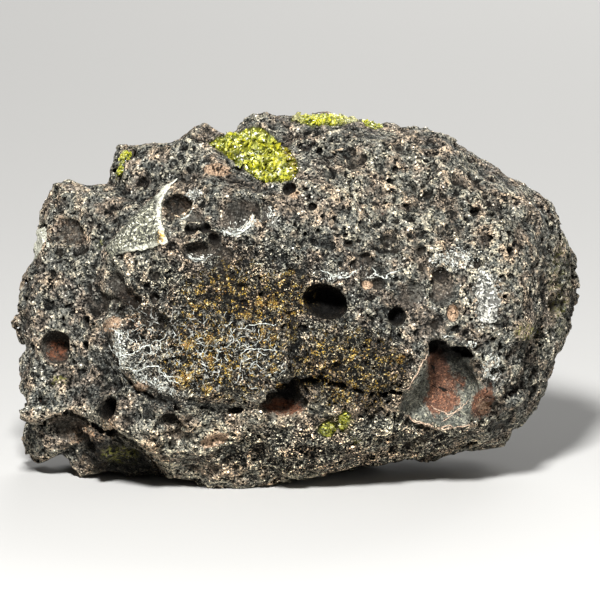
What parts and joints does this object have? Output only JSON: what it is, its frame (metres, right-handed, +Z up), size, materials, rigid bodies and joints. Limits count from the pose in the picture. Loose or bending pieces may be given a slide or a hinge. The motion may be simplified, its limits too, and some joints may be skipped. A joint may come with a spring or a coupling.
{
  "type": "peridot cluster",
  "caption": "Hand specimen of vesicular basalt with granular olive-green peridot crystals set in its broken top and front, resting on a flat break.",
  "frame": {"origin": "bottom centre of the specimen's bounding box, level with the flat break that it stands on", "axes": "+X along the specimen's length, to the right as the front face is seen; -Y out of the front face; +Z up"},
  "size_m": [0.1398, 0.0824, 0.0912],
  "materials": {
    "basalt": "rough, porous, weathered",
    "peridot": "vitreous, sugary grains",
    "pale_stone": "dull, weathered",
    "white_mineral": "dull, crusty"
  },
  "bodies": {
    "root": {"basalt_host": "basalt", "peridot_cluster": "peridot", "peridot_ridge_crust": "peridot", "peridot_ridge_bead": "peridot", "peridot_shoulder_crust": "peridot", "peridot_grain_west": "peridot", "peridot_grain_east": "peridot", "pale_nodule": "pale_stone", "pale_edge_nodule": "pale_stone", "white_mineral_patch": "white_mineral"}
  },
  "joints": []
}
